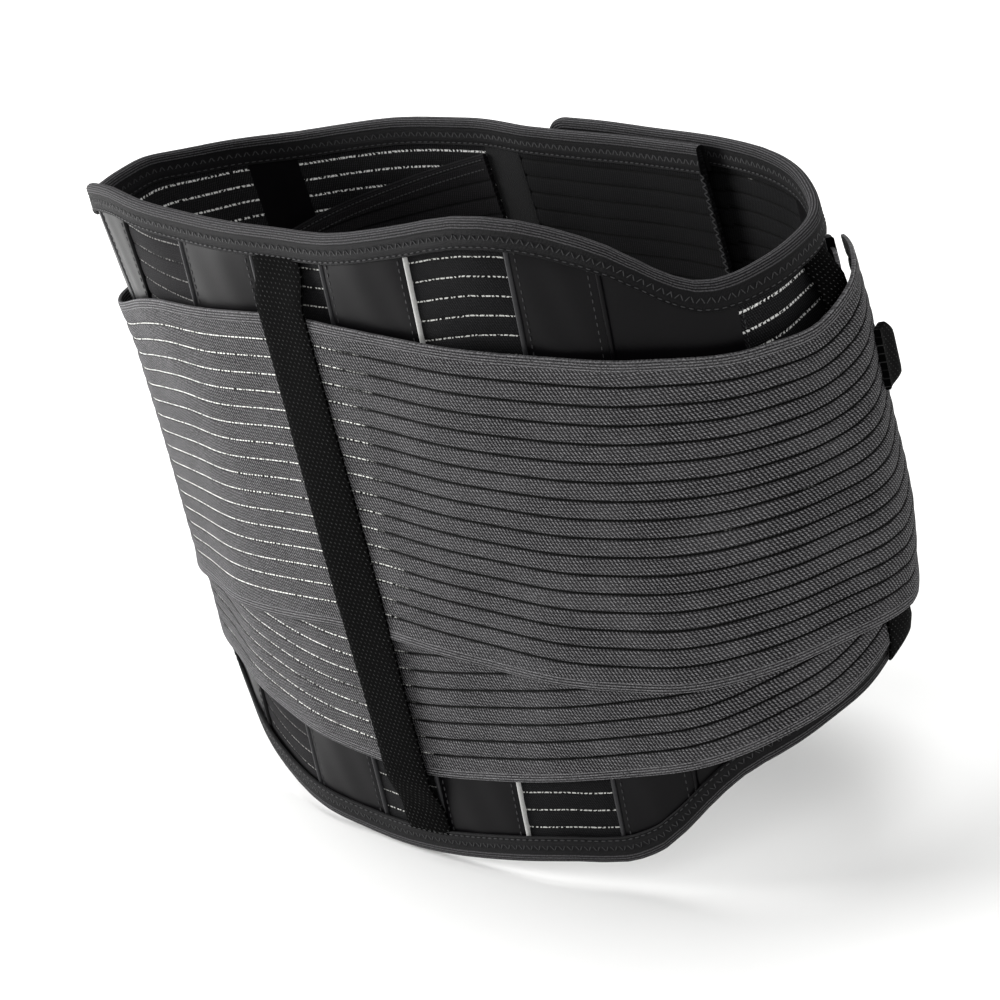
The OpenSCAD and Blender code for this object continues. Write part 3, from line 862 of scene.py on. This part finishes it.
# ---------------------------------------------------------------- edge bindings
# Woven fold-over elastic is wrapped round the belt's edges. Fine cords run along its fold,
# and a zigzag and a straight line of stitches hold both legs down.

CASING = 3.0
BINDING_HEIGHT = 10.5
BINDING = 1.2
CORD_PITCH = 1.05


# Fold-over elastic: corded black nylon whose raised cords along the fold are painted grey, a painted
# highlight on the ridges.
def corded_elastic():
    material, node = finish_of("corded_fold_over_elastic")
    place = node("UVMap", uv_map="UVMap")
    ridge = node("Attribute", out="Fac", attribute_name="rib")
    fuzz = node("TexNoise", {"Vector": place, "Scale": 1.5, "Detail": 4.0})
    pick = node("TexWave", {"Vector": place, "Scale": 0.62, "Distortion": 1.5}, "Fac",
                bands_direction="X")
    fac = node("Math", [ridge, fuzz], operation="MULTIPLY")
    # Painted highlight: the cords' crests are mixed towards grey
    crest = node("MapRange", [fac, 0.2, 0.62])
    low = node("Mix", {0: pick, 6: linear("#050506"), 7: linear("#121113")}, 2,
               data_type="RGBA")
    tone = node("Mix", {0: crest, 6: low, 7: linear("#545355")}, 2, data_type="RGBA")
    height = node("Math", [fuzz, pick], operation="ADD")
    bump = node("Bump", {"Height": height, "Strength": 0.6, "Distance": 0.00025})
    shader = node("BsdfPrincipled", {"Base Color": tone, "Roughness": 0.7, "Normal": bump,
                                     "Specular IOR Level": 0.15})
    node("OutputMaterial", {"Surface": shader}, None)
    return material


binding_finish = corded_elastic()


def binding_profile():
    """The folded tape's outline, as distance out and height past the edge, with each point's
    cord value. It starts at the outer leg's foot; the legs close in towards the fold."""
    outer, inner = CASING + 0.1 + BINDING, -0.1 - BINDING
    middle, half, rise, shoulder = (outer + inner) / 2, 2.0, 1.7, -0.6
    foot_half = (outer - inner) / 2
    cord_from = -2.7

    def leg(h):
        return half + (foot_half - half) * (shoulder - h) / (shoulder + BINDING_HEIGHT)

    side = [(leg(h) - dip, h, 0.0) for h, dip in (
        (-BINDING_HEIGHT, 0.4), (-10.1, 0), (-9.3, 0.3), (-8.5, 0), (-7.0, 0.0), (-5.5, 0.25),
        (-4.0, 0.0), (-3.2, 0.1))]
    steps = 8
    for i in range(steps):
        h = cord_from + (shoulder - cord_from) * i / steps
        crest = abs(math.sin(math.pi * (h - cord_from) / CORD_PITCH))
        side.append((leg(h) + 0.22 * crest - 0.1, h, crest))
    outline = [(middle + w, h, crest) for w, h, crest in side]
    for i in range(25):
        angle = math.pi * i / 24
        crest = abs(math.sin(math.pi * i / 4))
        lift = 0.22 * crest - 0.1
        outline.append((middle + (half + lift) * math.cos(angle),
                        shoulder + (rise + lift) * math.sin(angle), crest))
    outline += [(middle - w, h, crest) for w, h, crest in side[::-1]]
    outline += [(middle - 1.5, -BINDING_HEIGHT, 0.0), (middle - 1.0, -1.2, 0.0),
                (middle + 1.0, -1.2, 0.0), (middle + 1.5, -BINDING_HEIGHT, 0.0)]
    return np.array(outline)


PROFILE = binding_profile()
PROFILE_RUN = np.concatenate(([0], np.cumsum(np.hypot(*np.diff(PROFILE[:, :2], axis=0).T))))


def bind(name, p, z, ex, ez, flip=False):
    """Tape folded over an edge that runs through stations p at heights z; (ex, ez) points out
    of the cloth, ex round the belt and ez up."""
    p, z, ex, ez = (np.asarray(v, float) for v in np.broadcast_arrays(p, z, ex, ez))
    degrees = 1 / (along(p + 0.5) - along(p - 0.5))
    d = PROFILE[None, :, 0] + tuck(p)[:, None]
    h = PROFILE[None, :, 1]
    P = p[:, None] + (ex * degrees)[:, None] * h
    Z = z[:, None] + ez[:, None] * h
    points = on_belt(P, Z, d)
    n, m = P.shape
    index = np.arange(n * m).reshape(n, m)
    nxt = np.roll(index, -1, 1)
    a, b, c, e = index[:-1], index[1:], nxt[1:], nxt[:-1]
    faces = np.stack((a, b, c, e), -1).reshape(-1, 4).tolist()
    faces += [index[0].tolist(), index[-1][::-1].tolist()]
    if flip:
        faces = [face[::-1] for face in faces]
    travel = np.linalg.norm(np.diff(on_belt(p, z, 1.5), axis=0), axis=1) * 1000
    travel = np.concatenate(([0], np.cumsum(travel)))
    uv = np.stack((np.repeat(travel[:, None], m, 1), np.repeat(PROFILE_RUN[None], n, 0)), -1)
    crest = np.repeat(PROFILE[None, :, 2], n, 0).ravel()
    part = {"points": points.reshape(-1, 3), "faces": faces, "uv": uv.reshape(-1, 2),
            "values": {"rib": crest, "edge": 0 * crest, "threads": 0 * crest}, "slot": 0}
    made = piece(name, [part], [binding_finish])
    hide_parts(name)
    return made


def binding_stitches(name, p, z, ex, ez, **how):
    """The straight and the zigzag line through both legs of a binding."""
    degrees = 1 / (along(p + 0.5) - along(p - 0.5))
    runs = []
    middle, foot_half = CASING / 2, CASING / 2 + 0.1 + BINDING
    for d in (1, -1):
        for h, pitch, length, slant in ((-9.3, 3.0, 2.0, 0), (-6.0, 1.9, 3.4, 58)):
            out = middle + d * (foot_half + (h + BINDING_HEIGHT) * -0.13)
            runs.append(stitch_run(p + ex * degrees * h, z + ez * h, out + tuck(p), pitch=pitch,
                                   length=length, width=0.45, zigzag=slant))
    stitching(name, runs, **how)


BIND_SPLIT = 60.0
for edge_name, edge, sign in (("top", top_z, 1), ("bottom", bottom_z, -1)):
    p = np.linspace(-BIND_SPLIT, BIND_SPLIT, 170)
    made = bind(f"{edge_name}_binding_back", p, edge(p), 0 * p, sign + 0 * p, flip=sign < 0)
    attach(made, "back")
    binding_stitches(f"{edge_name}_binding_stitches_back", p, edge(p), 0 * p, sign + 0 * p,
                     body="back")
    for word, side in SIDES:
        reach = RIGHT_END - CORNER_SPAN if side > 0 else LEFT_END
        p = np.linspace(*sorted((side * BIND_SPLIT, side * reach)), 190)
        made = bind(f"{edge_name}_binding_{word}", p, edge(p), 0 * p, sign + 0 * p, flip=sign < 0)
        bend_at_wing(made, side)
        binding_stitches(f"{edge_name}_binding_stitches_{word}", p, edge(p), 0 * p, sign + 0 * p,
                         side=side)

# The same tape goes on round the right front's tongue
turn = np.radians(np.linspace(0, 90, 16))
corner = RIGHT_END - CORNER_SPAN
down = np.linspace(top_z(RIGHT_END) - CORNER_DROP, bottom_z(RIGHT_END) + CORNER_DROP, 60)[1:-1]
round_p = np.concatenate((corner + CORNER_SPAN * np.sin(turn), 0 * down + RIGHT_END,
                          corner + CORNER_SPAN * np.sin(turn[::-1])))
round_z = np.concatenate((top_z(corner) - CORNER_DROP * (1 - np.cos(turn)), down,
                          bottom_z(corner) + CORNER_DROP * (1 - np.cos(turn[::-1]))))
round_x = np.concatenate((np.sin(turn), 0 * down + 1, np.sin(turn[::-1])))
round_up = np.concatenate((np.cos(turn), 0 * down, -np.cos(turn[::-1])))
made = bind("end_binding_right", round_p, round_z, round_x, round_up)
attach(made, "right_front")
binding_stitches("end_binding_stitches", round_p, round_z, round_x, round_up,
                 body="right_front")

# ---------------------------------------------------------------- pull bands
# Two crossed bands of grey ribbed elastic run from side to side over the back, the upper on
# the lower, and hook on at the front, where the wearer pulls them tight.

BAND = 1.8
BAND_WIDTH = 130.0
BAND_RIBS = 15
STRAP_TAB = (124.2, 133.0)
BAND_SPLIT = 104.0
STRAP_BEND = (107.5, 114.5)
UPPER_TOP = ((0, 226.5), (10, 225), (20, 222.5), (30, 220.5), (42, 217.5), (57, 214.5),
             (70, 211.5), (90, 209), (97, 210.5), (102, 214), (110, 218), (118, 222),
             (127, 222), (135, 217))
UPPER_BOTTOM = ((0, 95), (6, 95), (18, 90.5), (25, 88), (33, 85), (42, 83.5), (52, 83),
                (62, 84), (74, 86), (92, 85.6), (111, 80), (125, 95), (135, 104))
LOWER_BOTTOM = ((0, 33.5), (8, 34.5), (16, 37), (27, 41), (38, 45), (50, 49.3), (56, 51.7),
                (67, 57.4), (80, 61), (94, 69), (111, 78), (125, 95), (135, 104))


def lower_d(p):
    return CASING + CLEAR + (BINDING + 0.3) * ramp(np.abs(p), 40, 52)


# Heights, and how far the upper band stands off the lower one there in front of the hips
STAND_OFF = ((78, 88, 101, 117, 133, 149, 197, 213, 225),
             (0.5, 1.5, 3.7, 5.2, 5.2, 4.5, 4, 3, 2))


def upper_d(p, z):
    q = np.abs(p)
    return (lower_d(p) + BAND + CLEAR + 1.6 * ramp(q, 78, 92)
            + ramp(q, 86, 108) * (1 - ramp(q, 118, 132)) * np.interp(z, *STAND_OFF)
            + 0.7 * (1 - ramp(z - upper_low(p), 0, 7)))


def upper_low(p):
    return smooth_at(np.abs(p), UPPER_BOTTOM)


def upper_high(p):
    return (smooth_at(np.abs(p), UPPER_TOP)
            - 13 * ramp(-p, 26, 58) * (1 - ramp(-p, 84, 108)))


def lower_low(p):
    return smooth_at(np.abs(p), LOWER_BOTTOM)


def lower_high(p):
    return np.minimum(lower_low(p) + BAND_WIDTH, upper_high(p) - 4)


# Its third colour is the painted shade in the grooves
band_elastic = ribbed_elastic("grey_band_elastic", "#8e8d8f", "#151416", "#050505", "#f4f4f0",
                              1.4, 0.75)


def band_painted_light_threads(p, z):
    """Painted light: the bands' white threads show most on the left half, which faces the key lamp,
    and less to the right of the spine; they also show less towards the bottom.
    """
    return 0.95 - 0.8 * ramp(p, 2, 14) - 0.35 * (1 - ramp(z, 60, 110))


BANDS = (("upper_band", upper_low, upper_high, upper_d),
         ("lower_band", lower_low, lower_high, lambda p, z: lower_d(p)))
for name, low, high, out in BANDS:
    for word, side in SIDES:
        for stretch, inner_end, outer_end in (("", 0.05, BAND_SPLIT),
                                              ("_end", BAND_SPLIT, STRAP_TAB[0])):
            part = shell(*sorted((side * inner_end, side * outer_end)), low, high, out,
                         lambda p, z, out=out: out(p, z) + BAND, ribs=BAND_RIBS, margin=10.0,
                         depth=(0.2, 0.5), crown=0.28, threads=band_painted_light_threads)
            made = piece(f"{name}{stretch}_{word}", [part], [band_elastic])
            if stretch:
                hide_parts(f"{name}_end_{word}")
                start, end = (Vector(on_belt(side * p, 140, 6)) for p in STRAP_BEND)
                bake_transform(made)
            else:
                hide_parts(f"{name}_side_{word}", *([f"{name}_back"] if side < 0 else []))
                bend_at_wing(made, side)

# ---------------------------------------------------------------- webbing
# Webbing is sewn down the spine and down each side over the bands, which slide beneath it
# and are kept in place. It is caught under the bindings at head and foot.

WEBBING = 1.2
WEBBING_WIDTH = 25.0
SIDE_WEBBING = (98.0, 110.4)
SPINE_FOOT = 3.2
SPINE_HEAD = -1.6
FLOAT_WIDTH = 2.3
FLOAT_HEIGHT = 1.7


# Nylon webbing: a coarse black weave whose floats stand in staggered rows, 2.3 by
# 1.7 mm apart, each painted pale as a painted highlight.
def webbing_finish():
    material, node = finish_of("black_nylon_webbing")
    place = node("UVMap", uv_map="UVMap")
    u, v = node("SeparateXYZ", [place], None).outputs[:2]
    row = node("Math", [v, FLOAT_HEIGHT], operation="DIVIDE")
    whole = node("Math", [row], operation="FLOOR")
    pace = node("Math", [u, FLOAT_WIDTH], operation="DIVIDE")
    column = node("Math", [whole, 0.5, pace], operation="MULTIPLY_ADD")
    dx = node("Math", [node("Math", [column], operation="FRACT"), 0.5], operation="SUBTRACT")
    dy = node("Math", [node("Math", [row], operation="FRACT"), 0.5], operation="SUBTRACT")
    slant = node("Math", [dy, 0.5, dx], operation="MULTIPLY_ADD")
    wide = node("Math", [slant, node("Math", [slant, 3.2], operation="MULTIPLY")],
                operation="MULTIPLY")
    high = node("Math", [dy, node("Math", [dy, 1.1], operation="MULTIPLY")],
                operation="MULTIPLY")
    far = node("Math", [node("Math", [wide, high], operation="ADD")], operation="SQRT")
    dot = node("MapRange", [far, 0.05, 0.3, 1.0, 0.0], interpolation_type="SMOOTHSTEP")
    grain = node("TexNoise", {"Vector": place, "Scale": 0.8, "Detail": 3.0})
    # The floats' pale dots are painted highlights on the black weave
    lit = node("Math", [dot, node("MapRange", [grain, 0.3, 0.65])], operation="MULTIPLY")
    tone = node("Mix", {0: lit, 6: linear("#020202"), 7: linear("#484848")}, 2,
                data_type="RGBA")
    bump = node("Bump", {"Height": dot, "Strength": 0.6, "Distance": 0.0004})
    shader = node("BsdfPrincipled", {"Base Color": tone, "Roughness": 0.75, "Normal": bump,
                                     "Specular IOR Level": 0.02})
    node("OutputMaterial", {"Surface": shader}, None)
    return material


webbing = webbing_finish()


def bridge(z, near, far, start, stop):
    """Goes from near up to far between the heights start and stop."""
    return near + (far - near) * ramp(z, start - 16, start) * (1 - ramp(z, stop, stop + 16))


def side_rise(z):
    """The side webbings go over the lower band and stand away from the belt above it."""
    near = ELASTIC + 0.1 + 2.6 * (1 - ramp(z, 150, 200))
    over = float(lower_d(SIDE_WEBBING[0])) + BAND + 0.15 + 1.6 * ramp(z, 190, 208)
    return near + (over - near) * ramp(z, 64, 74) * (1 - ramp(z, 213, 231))


def keeper(name, p0, p1, low, high, out, body, lean=None):
    """A length of webbing with rounded edges, sewn down at both ends."""
    def face(p, z):
        middle, half = (p0 + p1) / 2, (p1 - p0) / 2
        return out(z) + WEBBING - 0.35 * np.abs((p - middle) / half) ** 8

    part = shell(p0, p1, low, high, lambda p, z: out(z) + 0 * p, face, step=1.2, lean=lean,
                 soft=0.0)
    cloth(name, [part], [webbing], body)


half = WEBBING_WIDTH / 2 / (along(0.5) - along(-0.5))
keeper("spine_webbing", -half, half, lambda p: bottom_z(p) + BINDING_HEIGHT - 1,
       lambda p: top_z(p) - BINDING_HEIGHT + 1,
       lambda z: bridge(z, CASING + 0.1, CASING + 2 * BAND + 3 * CLEAR + 0.1, 32, 229), "back",
       lambda z: SPINE_FOOT + (SPINE_HEAD - SPINE_FOOT) * z / BACK_HEIGHT)
for word, side in SIDES:
    ends = sorted(side * p for p in SIDE_WEBBING)
    keeper(f"side_webbing_{word}", *ends, lambda p: bottom_z(p) + 1,
           lambda p: top_z(p) - BINDING_HEIGHT + 1, side_rise, f"{word}_front")

# ---------------------------------------------------------------- strap ends
# Both bands of a side are gathered into one tab that hooks on at the front, sewn all round.
# A loop of doubled webbing on the upper band is what the wearer pulls.

TAB_SEAMS = (125.4, 130.4)
PULL_TAB = (113.0, 121.5)
PULL_FOOT = 166.0
PULL_HEAD = 191.0
PULL_LIFT = 4.0


def tab_low(p):
    return upper_low(p) + 8 * ramp(np.abs(p), 126, 133)


def tab_high(p):
    return upper_high(p) - 8 * ramp(np.abs(p), 126, 133)


for word, side in SIDES:
    ends = sorted(side * p for p in STRAP_TAB)

    def tab_face(p, z):
        seam = np.exp(-((np.abs(np.abs(p) - STRAP_TAB[0] - 1.0)) / 0.35) ** 2)
        return CASING + 4.2 - 0.35 * seam - 1.2 * ramp(np.abs(p), 130.5, 133)

    soft_panel(f"strap_tab_{word}", *ends, tab_low, tab_high,
               lambda p, z: CASING + 0.6 + 0 * p, tab_face, black_satin, "casing_cloth",
               f"{word}_strap", "folded", step=1.5, soft=0.9)
    q = np.linspace(side * (STRAP_TAB[0] + 1.2), side * (STRAP_TAB[1] - 2.4), 24)
    upright_z = np.linspace(tab_low(side * TAB_SEAMS[0]) + 4,
                            tab_high(side * TAB_SEAMS[0]) - 4, 50)
    middle = (STRAP_TAB[0] + STRAP_TAB[1]) / 2 * side
    stitching(f"strap_tab_stitches_{word}", [
        stitch_run(q, tab_low(q) + 4, tab_face(q, q) + 0.03),
        stitch_run(q, tab_high(q) - 4, tab_face(q, q) + 0.03),
        stitch_run(side * TAB_SEAMS[0], upright_z, CASING + 4.15),
        stitch_run(side * TAB_SEAMS[1], upright_z[3:-3], CASING + 4.2),
        stitch_run(middle, upright_z[2:-2], CASING + 4.2, zigzag=55, pitch=2.0, length=3.4)],
        f"{word}_strap")

    def tab_out(p, z):
        return upper_d(p, z) + BAND + 0.1 + PULL_LIFT * ramp(np.abs(p), PULL_TAB[0] + 0.5, PULL_TAB[1])

    def grip_high(p):
        return PULL_HEAD - 8 * ramp(np.abs(p), 116, PULL_TAB[1])

    ends = sorted(side * p for p in PULL_TAB)
    soft_panel(f"pull_tab_{word}", *ends, lambda p: PULL_FOOT + 0 * p, grip_high, tab_out,
               lambda p, z: tab_out(p, z) + 2 * WEBBING, webbing, "webbing", f"{word}_strap",
               "folded", layers=2, step=1.0, soft=0.5)
